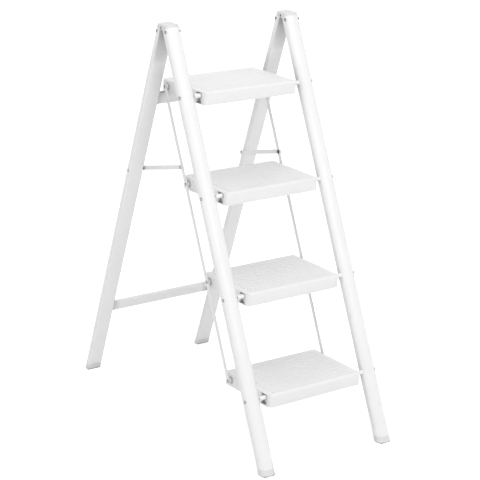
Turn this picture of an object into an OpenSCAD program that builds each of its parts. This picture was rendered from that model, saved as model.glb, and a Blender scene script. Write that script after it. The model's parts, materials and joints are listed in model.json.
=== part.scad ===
// Folding step stool with four treads: slim D-section legs, a link rod down each
// side that keeps the treads parallel, and a stay from each rear leg to its rod.
// Millimetres. +Z up, +X to the user's right, -Y towards the user. The origin is
// on the floor, at the middle of the open stool's footprint.

/* [Frame] */
// Height of the hinge axis above the floor
hinge_z = 1079; // [1065:1:1120]
// Lean of the front legs from upright, in degrees
front_lean = 24; // [22:0.5:26]
// Gap between the flat backs of a front and a rear leg when folded
nest_gap = 7; // [5:0.5:9]

/* [Leg tube] */
// Width of the leg section
leg_w = 45; // [38:0.5:50]
// Depth of the leg section, flat back to crown
leg_d = 24; // [20:0.5:28]
// Wall of the leg tube
leg_wall = 1.2; // [1:0.1:2]
// Corner radius at the flat back
leg_back_r = 3; // [2.5:0.1:4]
// Radius of the two shoulders
leg_shoulder_r = 9; // [7:0.5:10]
// Radius of the crown between the shoulders
leg_crown_r = 30; // [28:1:40]

/* [Feet] */
// Height of the visible shoe
foot_h = 17; // [12:1:30]
// Rounding of the shoe's lower side edges
foot_edge_r = 4; // [2:0.5:6]
// Length of the plug inside the tube, measured upright
foot_plug_h = 28; // [15:1:40]
// Width of a sole groove
sole_groove_w = 2.5; // [1.5:0.5:4]
// Depth of a sole groove
sole_groove_depth = 1.2; // [0.8:0.1:2]
// Spacing of the two sole grooves
sole_groove_pitch = 10; // [8:1:12]
// Size of the bevel along the sole's outer edge
toe_bevel = 3; // [1:0.5:5]

/* [Top caps] */
// Distance of the tube's top edge below the hinge axis, along the leg
tube_drop = 7.5; // [7:0.5:12]
// Height of the cap's level top above the hinge axis
cap_top = 9; // [8:0.5:14]
// Rounding of the edges round the cap's top
cap_edge_r = 4; // [2:0.5:5]
// Length of the cap's plug below the hinge axis
cap_plug = 42; // [30:1:60]
// Outer radius of the hinge knuckles
knuckle_r = 6.5; // [5.5:0.5:7]
// Width of the middle knuckle and of each outer knuckle
knuckle_w = 7; // [5:0.5:8]
// Radius of the hinge pin
hinge_pin_r = 3; // [2.5:0.1:3.5]
// Distance of the cap rivet below the hinge axis, along the leg
cap_rivet_drop = 16.5; // [14:0.5:24]

/* [Treads] */
// Height of the lowest tread's top above the floor
first_tread_z = 190; // [185:1:210]
// Rise from one tread to the next
tread_rise = 244; // [236:1:250]
// Width of a tread
tread_w = 306; // [290:1:308]
// Distance from a tread's pivot forward to its front edge
tread_front = 22; // [18:1:26]
// Distance from a tread's pivot back to its rear edge
tread_back = 182; // [170:1:186]
// Height of a tread over its skirt
tread_h = 35; // [32:0.5:36]
// Depth of the pivot below the tread's top
pivot_drop = 11.5; // [10.5:0.5:13]
// Corner radius of a tread seen from above
tread_corner_r = 14; // [8:1:18]
// Radius of the front top edge
nose_r = 6; // [3:0.5:8]
// Radius of the other top edges
rim_r = 4; // [2:0.5:5]
// Radius of the lower edges
hem_r = 1.5; // [0.5:0.5:2]
// Wall of the skirt
skirt_wall = 3; // [2:0.5:4]
// Thickness of the tread's plate
plate_wall = 3.5; // [2.5:0.5:5]

/* [Tread ribs] */
// Number of anti-slip ribs on top
grip_count = 13; // [9:1:15]
// Spacing of the anti-slip ribs
grip_pitch = 13.6; // [10:0.1:14]
// Distance of the foremost rib's middle before the pivot
grip_fore = 6.5; // [2:0.5:10]
// Width of an anti-slip rib
grip_w = 5; // [4:0.5:8]
// Height of an anti-slip rib
grip_h = 1.2; // [0.4:0.1:1.5]
// Plain border at each end of the anti-slip ribs
grip_border = 18; // [12:1:30]
// Thickness of the stiffening ribs underneath
web_t = 2.5; // [1.5:0.5:4]
// Distance of the stiffening ribs' lower edge above the skirt's
web_rise = 1; // [0.5:0.5:10]
// Number of stiffening ribs running front to back
long_webs = 4; // [2:1:6]
// Number of stiffening ribs running across
cross_webs = 3; // [2:1:4]

/* [Tread pockets] */
// Depth of the front pocket round the pivot
front_pocket = 14; // [4:0.5:18]
// Reach of the front pocket before the pivot
front_pocket_fore = 6.5; // [6:0.5:12]
// Reach of the front pocket behind the pivot
front_pocket_aft = 16; // [10:1:24]
// Radius of the pocket's round part, about the pivot
pocket_r = 8.5; // [8:0.5:10]
// Thickness of the end wall where a pin or rivet runs in it
bearing_wall = 6; // [4:0.5:8]
// Width of that thick wall, each way from the link rivet
bearing_reach = 13; // [9:1:14]

/* [Pivots] */
// Radius of the tread pin
pin_r = 3; // [2.5:0.1:3.5]
// Outer radius of the sleeve on a tread pin
sleeve_r = 6; // [4.5:0.5:6.5]
// Radius of the tread's boss round a link rivet
boss_r = 7; // [5.5:0.5:8]
// Radius of the rivet and bolt shanks at the link rods, stays and caps
rivet_r = 2.5; // [2:0.1:3]
// Radius of the rivet heads
head_r = 4.2; // [3.8:0.1:5.5]
// Height of the rivet heads
head_h = 1; // [0.6:0.1:1.4]
// Wall left round the hollow in the ends of pins, rivets and bolts
hollow_wall = 0.6; // [0.4:0.1:1]
// Depth of that hollow
hollow_depth = 2.5; // [1.5:0.5:3]

/* [Link rods and stays] */
// Distance of a link rivet behind its tread's pivot
link_back = 151; // [144:0.5:153]
// Distance of a link rivet below its tread's pivot
link_drop = 5.5; // [3:0.5:9]
// Width of a link rod
rod_w = 11; // [10.5:0.5:14]
// Thickness of a link rod
rod_t = 2.5; // [2:0.5:3]
// Gap between a tread's end and a link rod
rod_gap = 7.3; // [5:0.1:9]
// Gap between a stay and the legs, filled by a spacer on the rear leg's bolt
leg_gap = 4.5; // [3:0.5:8]
// Width of a stay
stay_w = 12; // [10:0.5:14]
// Thickness of a stay
stay_t = 2.5; // [2:0.5:3]
// Gap between a link rod and its stay
stay_gap = 2.7; // [2:0.1:3.5]
// Height of the stay's bolt in the rear leg above the floor
stay_bolt_z = 659.5; // [650:0.5:670]
// Distance of the stay's bolt behind the rear leg's flat back
stay_bolt_in = 8; // [7:0.5:14]

/* [Rear braces] */
// Height of the upper brace, along the leg
upper_brace_h = 36.5; // [30:1:44]
// Height of the lower brace, along the leg
lower_brace_h = 31; // [24:1:40]
// Height of the lower brace's middle above the floor
lower_brace_z = 207.5; // [195:0.5:225]
// Thickness of the braces
brace_t = 11; // [8:0.5:12]
// Wall of the brace tube
brace_wall = 1.2; // [1:0.1:2]
// Distance of the braces behind the rear legs' flat backs
brace_in = 12; // [11.5:0.5:13]
// Distance from the top tread's rear edge forward to where it rests on the upper brace
brace_under = 1.7; // [1:0.1:8]
// Corner radius of the braces
brace_r = 3; // [2:0.5:5]
// Thickness of the flange at each end of a brace
flange_t = 2.5; // [2:0.5:4]
// Overhang of the flange round the brace
flange_rim = 0.8; // [0.5:0.1:1]

/* [Fits] */
// Radial clearance of every pin, rivet and bolt in its hole
fit_gap = 0.05; // [0.02:0.01:0.1]
// Gap between faces of pieces that move past each other
face_gap = 0.3; // [0.2:0.05:0.5]
// Gap round a plug inside its tube
plug_gap = 0.1; // [0.05:0.05:0.3]

/* [Hidden] */
$fn = 48;
TREADS = 4;
BOTH = [-1, 1];
EPS = 0.01;
FAR = 2000;
white = [0.93, 0.93, 0.93];
plastic = [0.9, 0.9, 0.9];
steel = [0.6, 0.61, 0.62];

// --- Places across the stool: half-widths from the middle plane ---
tread_end_x = tread_w / 2;
rod_x = tread_end_x + rod_gap;
stay_x = rod_x + rod_t + stay_gap;
leg_inner_x = stay_x + stay_t + leg_gap;
leg_x = leg_inner_x + leg_w / 2;
leg_outer_x = leg_inner_x + leg_w;
pin_wall_x = tread_end_x - front_pocket;

// --- Places in the side view, measured from the hinge axis as [y, z] ---
leg_back_y = nest_gap / 2;
leg_mid_y = leg_back_y + leg_d / 2;
function unit_down(lean, way) = [way * sin(lean), -cos(lean)];
function front_mid_y(z) = -(hinge_z - z) * tan(front_lean) - leg_mid_y / cos(front_lean);
function tread_top_z(n) = first_tread_z + (TREADS - n) * tread_rise;
function pivot(n) = [front_mid_y(tread_top_z(n) - pivot_drop), tread_top_z(n) - pivot_drop - hinge_z];
function link(n) = pivot(n) + [link_back, -link_drop];

// The rear legs lean so that the upper brace's rounded rear edge comes under the top
// tread's rear end. The edge is rounded about rest.
tread_low = tread_h - pivot_drop;
brace_mid_y = leg_back_y + brace_in + brace_t / 2;
rest = pivot(1) + [tread_back - brace_under, -tread_low - face_gap - brace_r];
rear_lean = acos((brace_mid_y + brace_t / 2 - brace_r) / norm(rest)) - atan2(-rest.y, rest.x);
upper_brace_top = rest.x * sin(rear_lean) - rest.y * cos(rear_lean) - brace_r;
lower_brace_mid = (hinge_z - lower_brace_z + brace_mid_y * sin(rear_lean)) / cos(rear_lean);

// Folding: the rear frame turns by fold_angle, and the treads turn until the link
// rods lie against the sleeves on the tread pins.
fold_angle = front_lean + rear_lean;
link_reach = norm([link_back, link_drop]);
rod_rest = rod_w / 2 + sleeve_r + face_gap;
tread_turn = 90 - front_lean + atan2(link_drop, link_back) - asin(rod_rest / link_reach);

// The stay's bolt in the rear leg, and the point on the link rod that lies at one
// and the same distance from it with the stool open and folded.
function turn(p, a) = [p.x * cos(a) - p.y * sin(a), p.x * sin(a) + p.y * cos(a)];
bolt_y = leg_back_y + stay_bolt_in;
bolt_down = (hinge_z - stay_bolt_z + bolt_y * sin(rear_lean)) / cos(rear_lean);
bolt = turn([bolt_y, -bolt_down], rear_lean);
bolt_folded = turn(bolt, -fold_angle);
link_folded = pivot(2) + turn(link(2) - pivot(2), tread_turn);
open_gap = bolt - link(2);
folded_gap = bolt_folded - link_folded;
rod_down = unit_down(front_lean, -1);
stay_up = (folded_gap * folded_gap - open_gap * open_gap) / (2 * (rod_down * (open_gap - folded_gap)));
stay_end = link(2) - stay_up * rod_down;

// The origin lies midway between the front and the rear shoes.
front_reach = (hinge_z - foot_edge_r) * tan(front_lean) + (leg_back_y + leg_d) / cos(front_lean);
rear_reach = (hinge_z - foot_edge_r) * tan(rear_lean) + (leg_back_y + leg_d) / cos(rear_lean);
hinge_y = (front_reach - rear_reach) / 2;

// --- Outlines ---
function arc(c, r, from, to, steps) =
    [for (i = [0:steps]) c + r * [cos(from + (to - from) * i / steps), sin(from + (to - from) * i / steps)]];

// Leg section with its flat back on y = 0, made smaller all round by inset.
function leg_outline(inset) =
    let (half = leg_w / 2 - inset,
         back_r = leg_back_r - inset,
         shoulder = leg_shoulder_r - inset,
         crown = leg_crown_r - inset,
         shoulder_x = half - shoulder,
         crown_y = leg_d - leg_crown_r,
         shoulder_y = crown_y + sqrt(pow(crown - shoulder, 2) - pow(shoulder_x, 2)),
         meet = atan2(shoulder_y - crown_y, shoulder_x))
    concat(
        arc([half - back_r, inset + back_r], back_r, -90, 0, 4),
        arc([shoulder_x, shoulder_y], shoulder, 0, meet, 6),
        arc([0, crown_y], crown, meet, 180 - meet, 12),
        arc([-shoulder_x, shoulder_y], shoulder, 180 - meet, 180, 6),
        arc([back_r - half, inset + back_r], back_r, 180, 270, 4)
    );

module rounded_rect(w, h, r) {
    polygon(concat(
        arc([w / 2 - r, r - h / 2], r, -90, 0, 6),
        arc([w / 2 - r, h / 2 - r], r, 0, 90, 6),
        arc([r - w / 2, h / 2 - r], r, 90, 180, 6),
        arc([r - w / 2, r - h / 2], r, 180, 270, 6)
    ));
}

// --- Frames of reference ---
// At the hinge axis, upright.
module at_hinge() {
    translate([0, hinge_y, hinge_z]) children();
}

// Along a leg: z runs up the leg and the leg lies on the +y side of the hinge axis.
module along_front() {
    at_hinge() rotate([-front_lean, 0, 0]) mirror([0, 1, 0]) children();
}

module along_rear() {
    at_hinge() rotate([rear_lean, 0, 0]) children();
}

// At a point of the side view, seen from the hinge axis.
module at_side(p) {
    at_hinge() translate([0, p.x, p.y]) children();
}

// A shape drawn in the y-z plane, made solid from x1 to x2.
module across(x1, x2) {
    translate([min(x1, x2), 0, 0]) rotate([90, 0, 90]) linear_extrude(abs(x2 - x1)) children();
}

// A flat strap with round ends at the points p and q of the side view.
module strap(p, q, w, x1, x2) {
    at_side(p) rotate([atan2(q.y - p.y, q.x - p.x), 0, 0]) across(x1, x2)
        polygon(concat(arc([norm(q - p), 0], w / 2, -90, 90, 16), arc([0, 0], w / 2, 90, 270, 16)));
}

// A box from corner a to corner b.
module box(a, b) {
    translate(a) cube(b - a);
}

// A cylinder along x.
module bar(r, x1, x2) {
    translate([min(x1, x2), 0, 0]) rotate([0, 90, 0]) cylinder(r = r, h = abs(x2 - x1));
}

// --- Fasteners ---
// A low head, standing on x and facing way.
module head(x, way) {
    translate([x, 0, 0]) rotate([0, 90 * way, 0]) rotate_extrude()
        polygon([[0, 0], [head_r, 0], [head_r, head_h * 0.3], [head_r * 0.85, head_h * 0.8],
                 [head_r * 0.65, head_h], [0, head_h]]);
}

// The hollow in the end of a pin whose head stands on x.
module hollow_end(r, x, way) {
    bar(r - hollow_wall, x + way * (head_h - hollow_depth), x + way * (head_h + 1));
}

// A pin with a hollow head on each end, the heads standing on x1 and x2.
module headed_pin(r, x1, x2) {
    low = min(x1, x2);
    high = max(x1, x2);
    difference() {
        union() {
            bar(r, low - EPS, high + EPS);
            head(low, -1);
            head(high, 1);
        }
        hollow_end(r, low, -1);
        hollow_end(r, high, 1);
    }
}

// --- Legs ---
module leg_section(inset) {
    translate([0, leg_back_y]) polygon(leg_outline(inset));
}

// A stretch of leg section from z1 to z2 along the leg.
module leg_stretch(inset, z1, z2) {
    translate([0, 0, z1]) linear_extrude(z2 - z1) leg_section(inset);
}

// Distance of a sole's middle from the hinge axis, along the floor.
function sole_mid(lean) = hinge_z * tan(lean) + leg_mid_y / cos(lean);
function leg_length(lean) = (hinge_z + leg_d + leg_back_y) / cos(lean) + leg_d;

module leg_tube(lean) {
    difference() {
        leg_stretch(0, -leg_length(lean), -tube_drop);
        leg_stretch(leg_wall, -leg_length(lean) - 1, 1 - tube_drop);
        translate([0, leg_mid_y, -cap_rivet_drop])
            bar(rivet_r + fit_gap, -leg_w, leg_w);
    }
}

module above_floor(z) {
    translate([-FAR, -FAR, z]) cube(2 * FAR);
}

module front_leg(side) {
    color(white) difference() {
        intersection() {
            translate([side * leg_x, 0, 0]) along_front() leg_tube(front_lean);
            above_floor(foot_h);
        }
        for (n = [1:TREADS])
            at_side(pivot(n)) bar(pin_r + fit_gap, side * (leg_inner_x - 1), side * (leg_outer_x + 1));
    }
}

module rear_leg(side) {
    color(white) difference() {
        intersection() {
            translate([side * leg_x, 0, 0]) along_rear() leg_tube(rear_lean);
            above_floor(foot_h);
        }
        at_side(bolt) bar(pin_r + fit_gap, side * (leg_inner_x - 1), side * (leg_outer_x + 1));
    }
}

// --- Feet ---
module shoe_limits() {
    rotate([90, 0, 0]) translate([0, 0, -FAR]) linear_extrude(2 * FAR)
        polygon(concat(
            arc([leg_w / 2 - foot_edge_r, foot_edge_r], foot_edge_r, -90, 0, 4),
            [[leg_w / 2, foot_h], [-leg_w / 2, foot_h]],
            arc([foot_edge_r - leg_w / 2, foot_edge_r], foot_edge_r, 180, 270, 4)
        ));
}

// Bevel along the sole's outer edge, where the crown of the section meets the floor.
module toe_cut(lean, way) {
    outer_y = hinge_y + way * (hinge_z * tan(lean) + (leg_back_y + leg_d) / cos(lean));
    translate([0, outer_y, 0]) rotate([way * 45, 0, 0])
        translate([-leg_w, -leg_w, -leg_w + toe_bevel / sqrt(2)]) cube([2 * leg_w, 2 * leg_w, leg_w]);
}

module sole_grooves(lean, way) {
    for (s = BOTH)
        translate([-leg_w, hinge_y + way * sole_mid(lean) + (s * sole_groove_pitch - sole_groove_w) / 2, -1])
            cube([2 * leg_w, sole_groove_w, sole_groove_depth + 1]);
}

module foot(side, lean, way) {
    color(plastic) translate([side * leg_x, 0, 0]) {
        difference() {
            intersection() {
                along_leg(way) leg_stretch(0, -leg_length(lean), 0);
                shoe_limits();
            }
            toe_cut(lean, way);
            sole_grooves(lean, way);
        }
        intersection() {
            along_leg(way) leg_stretch(leg_wall + plug_gap, -leg_length(lean), 0);
            translate([-leg_w, -FAR, foot_h - EPS]) cube([2 * leg_w, 2 * FAR, foot_plug_h]);
        }
    }
}

module along_leg(way) {
    if (way < 0) along_front() children();
    else along_rear() children();
}

// --- Caps and hinge ---
// Plug in the tube and a block above it, level on top when the stool is open, which
// meets the other leg's block on the plane halfway between the two legs.
module cap_body(lean) {
    half = leg_w / 2;
    back_y = face_gap / 2;
    crown_y = leg_back_y + leg_d;
    edge_y = crown_y - cap_edge_r;
    edge_z = (cap_top - cap_edge_r - edge_y * sin(lean)) / cos(lean);
    difference() {
        union() {
            leg_stretch(leg_wall + plug_gap, -cap_plug, 1 - tube_drop);
            intersection() {
                union() {
                    leg_stretch(0, -tube_drop, leg_w);
                    box([-half, back_y, -tube_drop], [half, leg_back_y + leg_back_r, leg_w]);
                }
                across(-half, half) polygon(concat(
                    [[back_y, -tube_drop], [crown_y, -tube_drop]],
                    arc([edge_y, edge_z], cap_edge_r, 0, 90 - lean, 6),
                    [[back_y, (cap_top - back_y * sin(lean)) / cos(lean)]]
                ));
                rotate([90 - lean, 0, 0]) translate([0, 0, -leg_w]) linear_extrude(2 * leg_w)
                    polygon(concat(
                        [[-half, -leg_w], [half, -leg_w]],
                        arc([half - cap_edge_r, cap_top - cap_edge_r], cap_edge_r, 0, 90, 6),
                        arc([cap_edge_r - half, cap_top - cap_edge_r], cap_edge_r, 90, 180, 6)
                    ));
            }
        }
        rotate([-fold_angle / 2, 0, 0]) box([-leg_w, back_y - leg_w, 0], [leg_w, back_y, leg_w]);
    }
}

// The knuckles lie at these half-widths from the leg's middle: middle one, outer two.
middle_x = knuckle_w;
outer_x = 2 * knuckle_w + face_gap;

module outer_knuckles(r, ease) {
    for (s = BOTH) bar(r, s * (middle_x + face_gap - ease), s * (outer_x + ease));
}

module middle_knuckle(r, ease) {
    bar(r, -middle_x - ease, middle_x + ease);
}

module cap_holes() {
    translate([0, leg_mid_y, -cap_rivet_drop]) bar(rivet_r + fit_gap, -leg_w, leg_w);
    bar(hinge_pin_r + fit_gap, -leg_w, leg_w);
}

module front_cap(side) {
    color(plastic) translate([side * leg_x, 0, 0]) along_front() difference() {
        union() {
            difference() {
                cap_body(front_lean);
                outer_knuckles(knuckle_r + face_gap, face_gap);
            }
            middle_knuckle(knuckle_r, 0);
        }
        cap_holes();
    }
}

module rear_cap(side) {
    color(plastic) translate([side * leg_x, 0, 0]) along_rear() difference() {
        union() {
            difference() {
                cap_body(rear_lean);
                middle_knuckle(knuckle_r + face_gap, face_gap);
            }
            outer_knuckles(knuckle_r, 0);
        }
        cap_holes();
    }
}

module hinge_pins() {
    color(steel) for (side = BOTH)
        translate([side * leg_x, 0, 0]) at_hinge() bar(hinge_pin_r, -outer_x, outer_x);
}

module cap_rivet() {
    translate([0, leg_mid_y, -cap_rivet_drop]) headed_pin(rivet_r, -leg_w / 2, leg_w / 2);
}

module front_cap_rivets() {
    color(steel) for (side = BOTH) translate([side * leg_x, 0, 0]) along_front() cap_rivet();
}

module rear_cap_rivets() {
    color(steel) for (side = BOTH) translate([side * leg_x, 0, 0]) along_rear() cap_rivet();
}

// --- Tread pivots ---
module tread_pins() {
    color(steel) for (n = [1:TREADS], side = BOTH) at_side(pivot(n))
        headed_pin(pin_r, side * (pin_wall_x - bearing_wall - face_gap), side * leg_outer_x);
}

module tread_sleeves() {
    color(white) for (n = [1:TREADS], side = BOTH) at_side(pivot(n)) difference() {
        bar(sleeve_r, side * (pin_wall_x + face_gap), side * leg_inner_x);
        bar(pin_r + fit_gap, side * (pin_wall_x - 1), side * (leg_inner_x + 1));
    }
}

// --- Treads, drawn round their pivot ---
tread_top = pivot_drop;
pocket_top = tread_top - plate_wall;

module tread_block() {
    mid_y = (tread_back - tread_front) / 2;
    length = tread_back + tread_front;
    intersection() {
        translate([0, mid_y, -tread_low]) linear_extrude(tread_h)
            rounded_rect(tread_w, length, tread_corner_r);
        across(-tread_end_x, tread_end_x) polygon(concat(
            arc([hem_r - tread_front, hem_r - tread_low], hem_r, 180, 270, 3),
            arc([tread_back - hem_r, hem_r - tread_low], hem_r, 270, 360, 3),
            arc([tread_back - rim_r, tread_top - rim_r], rim_r, 0, 90, 4),
            arc([nose_r - tread_front, tread_top - nose_r], nose_r, 90, 180, 6)
        ));
        translate([0, tread_back, 0]) rotate([90, 0, 0]) linear_extrude(length) polygon(concat(
            arc([hem_r - tread_end_x, hem_r - tread_low], hem_r, 180, 270, 3),
            arc([tread_end_x - hem_r, hem_r - tread_low], hem_r, 270, 360, 3),
            arc([tread_end_x - rim_r, tread_top - rim_r], rim_r, 0, 90, 4),
            arc([rim_r - tread_end_x, tread_top - rim_r], rim_r, 90, 180, 4)
        ));
    }
}

// The hollow under the plate, with the stiffening ribs and pocket walls left standing.
module tread_hollow() {
    length = tread_back + tread_front;
    inner_w = tread_w - 2 * skirt_wall;
    difference() {
        translate([0, (tread_back - tread_front) / 2, -tread_low - 1])
            linear_extrude(tread_h - plate_wall + 1)
                rounded_rect(inner_w, length - 2 * skirt_wall, tread_corner_r - skirt_wall);
        for (i = [1:long_webs])
            translate([i * tread_w / (long_webs + 1) - tread_end_x, 0, 0])
                box([-web_t / 2, -tread_front, web_rise - tread_low], [web_t / 2, tread_back, tread_top]);
        for (i = [1:cross_webs])
            translate([0, i * length / (cross_webs + 1) - tread_front, 0])
                box([-tread_end_x, -web_t / 2, web_rise - tread_low], [tread_end_x, web_t / 2, tread_top]);
        for (side = BOTH) mirror([side < 0 ? 1 : 0, 0, 0]) {
            box([pin_wall_x - bearing_wall, -tread_front, -tread_low - 2],
                [tread_end_x, front_pocket_aft + skirt_wall, tread_top]);
            box([tread_end_x - bearing_wall, link_back - bearing_reach, -tread_low - 2],
                [tread_end_x, link_back + bearing_reach, tread_top]);
        }
    }
}

module tread_pockets() {
    for (side = BOTH) mirror([side < 0 ? 1 : 0, 0, 0])
        union() {
            box([pin_wall_x, -front_pocket_fore, -tread_low - 1],
                [tread_end_x + 1, front_pocket_aft, pocket_top]);
            bar(pocket_r, pin_wall_x, tread_end_x + 1);
        }
}

// The bosses that keep the link rods off the tread's ends.
module tread_bosses() {
    for (side = BOTH) translate([0, link_back, -link_drop])
        bar(boss_r, side * (tread_end_x - EPS), side * (rod_x - face_gap));
}

// Anti-slip ribs with a round back.
module grip_ribs() {
    r = (pow(grip_w / 2, 2) + pow(grip_h, 2)) / (2 * grip_h);
    half_turn = asin(grip_w / 2 / r);
    for (i = [0:grip_count - 1])
        translate([0, i * grip_pitch - grip_fore, tread_top + grip_h - r])
            across(grip_border - tread_end_x, tread_end_x - grip_border)
                polygon(concat(
                    [[-grip_w / 2, r - grip_h - EPS], [grip_w / 2, r - grip_h - EPS]],
                    arc([0, 0], r, 90 - half_turn, 90 + half_turn, 4)
                ));
}

module tread(n) {
    color(plastic) at_side(pivot(n)) difference() {
        union() {
            difference() {
                tread_block();
                tread_hollow();
                tread_pockets();
            }
            tread_bosses();
            grip_ribs();
        }
        for (side = BOTH) {
            bar(pin_r + fit_gap, side * (pin_wall_x - bearing_wall - 1), side * (pin_wall_x + 1));
            translate([0, link_back, -link_drop])
                bar(rivet_r + fit_gap, side * (tread_end_x - bearing_wall - 1), side * rod_x);
        }
    }
}

module link_rivets(n) {
    color(steel) for (side = BOTH) at_side(link(n))
        headed_pin(rivet_r, side * (tread_end_x - bearing_wall), side * (rod_x + rod_t + face_gap / 2));
}

// --- Link rods and stays ---
// The rod has a boss for the stay, which ends just short of it.
module link_rod(side) {
    color(white) difference() {
        union() {
            strap(link(1), link(TREADS), rod_w, side * rod_x, side * (rod_x + rod_t));
            at_side(stay_end) bar(stay_w / 2, side * rod_x, side * (stay_x - face_gap));
        }
        for (n = [1:TREADS])
            at_side(link(n)) bar(rivet_r + fit_gap, side * (rod_x - 1), side * (stay_x + 1));
    }
}

module stay(side) {
    color(white) difference() {
        strap(bolt, stay_end, stay_w, side * stay_x, side * (stay_x + stay_t));
        at_side(bolt) bar(pin_r + fit_gap, side * (stay_x - 1), side * (stay_x + stay_t + 1));
        at_side(stay_end) bar(rivet_r + fit_gap, side * (stay_x - 1), side * (stay_x + stay_t + 1));
    }
}

// The rivet at the link rod's end of the stay stops at the stay's inner face.
module stay_rivet(side) {
    color(steel) at_side(stay_end) difference() {
        union() {
            bar(rivet_r, side * stay_x, side * (stay_x + stay_t + EPS));
            head(side * (stay_x + stay_t), side);
        }
        hollow_end(rivet_r, side * (stay_x + stay_t), side);
    }
}

module stay_bolts() {
    color(steel) for (side = BOTH) at_side(bolt)
        headed_pin(pin_r, side * (stay_x - face_gap / 2), side * leg_outer_x);
}

module stay_spacers() {
    color(steel) for (side = BOTH) at_side(bolt) difference() {
        bar(sleeve_r, side * (stay_x + stay_t + face_gap), side * leg_inner_x);
        bar(pin_r + fit_gap, side * (stay_x + stay_t), side * (leg_inner_x + 1));
    }
}

// --- Rear braces: flat tubes welded between the rear legs by an end flange ---
module brace(h, mid) {
    color(white) along_rear() translate([0, brace_mid_y, -mid]) difference() {
        union() {
            across(-leg_inner_x, leg_inner_x) rounded_rect(brace_t, h, brace_r);
            for (s = BOTH)
                across(s * (leg_inner_x - flange_t), s * leg_inner_x)
                    rounded_rect(brace_t + 2 * flange_rim, h + 2 * flange_rim, brace_r);
        }
        across(-leg_inner_x - 1, leg_inner_x + 1)
            rounded_rect(brace_t - 2 * brace_wall, h - 2 * brace_wall, brace_r - brace_wall);
    }
}

module upper_brace() {
    brace(upper_brace_h, upper_brace_top + upper_brace_h / 2);
}

module lower_brace() {
    brace(lower_brace_h, lower_brace_mid);
}

front_leg(-1);  // front_leg_left
front_leg(1);  // front_leg_right
front_cap(-1);  // front_cap_left
front_cap(1);  // front_cap_right
foot(-1, front_lean, -1);  // front_foot_left
foot(1, front_lean, -1);  // front_foot_right
front_cap_rivets();
hinge_pins();
tread_pins();
tread_sleeves();
rear_leg(-1);  // rear_leg_left
rear_leg(1);  // rear_leg_right
rear_cap(-1);  // rear_cap_left
rear_cap(1);  // rear_cap_right
foot(-1, rear_lean, 1);  // rear_foot_left
foot(1, rear_lean, 1);  // rear_foot_right
rear_cap_rivets();
upper_brace();
lower_brace();
stay_bolts();
stay_spacers();
tread(1);  // tread_1
tread(2);  // tread_2
tread(3);  // tread_3
tread(4);  // tread_4
link_rivets(1);  // link_rivets_1
link_rivets(2);  // link_rivets_2
link_rivets(3);  // link_rivets_3
link_rivets(4);  // link_rivets_4
link_rod(-1);  // link_rod_left
link_rod(1);  // link_rod_right
stay(-1);  // stay_left
stay(1);  // stay_right
stay_rivet(-1);  // stay_rivet_left
stay_rivet(1);  // stay_rivet_right
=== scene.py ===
import json
import math
import bmesh
import bpy
import numpy as np
from mathutils import Matrix, Vector


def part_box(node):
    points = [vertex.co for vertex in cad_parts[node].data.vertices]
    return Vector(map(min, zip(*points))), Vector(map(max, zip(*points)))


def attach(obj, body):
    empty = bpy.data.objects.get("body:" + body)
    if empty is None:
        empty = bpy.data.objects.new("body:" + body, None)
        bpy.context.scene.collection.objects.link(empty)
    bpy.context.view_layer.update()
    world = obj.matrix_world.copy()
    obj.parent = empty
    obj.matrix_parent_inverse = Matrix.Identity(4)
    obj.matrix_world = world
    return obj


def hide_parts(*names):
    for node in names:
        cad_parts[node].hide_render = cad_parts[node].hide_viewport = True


# A folding step stool with four treads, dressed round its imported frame.
# Metres, +Z up, +X to the user's right, -Y towards the user.
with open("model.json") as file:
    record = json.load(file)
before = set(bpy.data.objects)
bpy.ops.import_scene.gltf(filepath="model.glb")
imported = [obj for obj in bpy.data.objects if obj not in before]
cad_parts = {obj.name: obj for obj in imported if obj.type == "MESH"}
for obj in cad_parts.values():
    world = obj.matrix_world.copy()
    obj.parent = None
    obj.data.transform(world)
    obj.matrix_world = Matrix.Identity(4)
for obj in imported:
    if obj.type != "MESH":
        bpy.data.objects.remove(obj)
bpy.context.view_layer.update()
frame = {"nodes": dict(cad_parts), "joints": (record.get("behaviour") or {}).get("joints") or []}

# --- Camera ---
# A long lens before the stool, nearly 5 m away and to its left, a metre above its top tread
# and turned by a small angle about its own axis.
VIEW_AZIMUTH = math.radians(-36.581)
VIEW_ELEVATION = math.radians(17.420)
VIEW_ROLL = math.radians(1.853)
VIEW_DISTANCE = 4.7173
LOOK_AT = Vector((-0.0002, -0.0114, 0.5203))
LENS_MM = 129.65
SENSOR_MM = 36.0
SHIFT = (0.00175, -0.02513)

forward = Vector((-math.sin(VIEW_AZIMUTH) * math.cos(VIEW_ELEVATION),
                  math.cos(VIEW_AZIMUTH) * math.cos(VIEW_ELEVATION),
                  -math.sin(VIEW_ELEVATION)))
level_right = Vector((math.cos(VIEW_AZIMUTH), math.sin(VIEW_AZIMUTH), 0.0))
level_up = level_right.cross(forward)
right = level_right * math.cos(VIEW_ROLL) + level_up * math.sin(VIEW_ROLL)
up = right.cross(forward)
lens = bpy.data.cameras.new("camera")
lens.lens = LENS_MM
lens.sensor_width = SENSOR_MM
lens.shift_x, lens.shift_y = SHIFT
camera = bpy.data.objects.new("camera", lens)
place = Matrix((right, up, -forward)).transposed().to_4x4()
place.translation = LOOK_AT - forward * VIEW_DISTANCE
camera.matrix_world = place
bpy.context.scene.collection.objects.link(camera)
bpy.context.scene.camera = camera


# --- Studio: world, floor and lamps ---
# A white cove that is a little darker at its sides: soft light from all round, a tall strip
# before the stool for its highlights, a high and a low fill, and a pale matt floor.
SKY_AT_HORIZON = 0.89
SKY_OVERHEAD = 1.12
SKY_LEFT_LOSS = 0.5
SKY_RIGHT_LOSS = 1.0
FLOOR_SIZE = 60.0
FLOOR_COLOUR = "#f4f4f4"
FLOOR_GLOW = 0.46
LAMP_DISTANCE = 5.0


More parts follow.
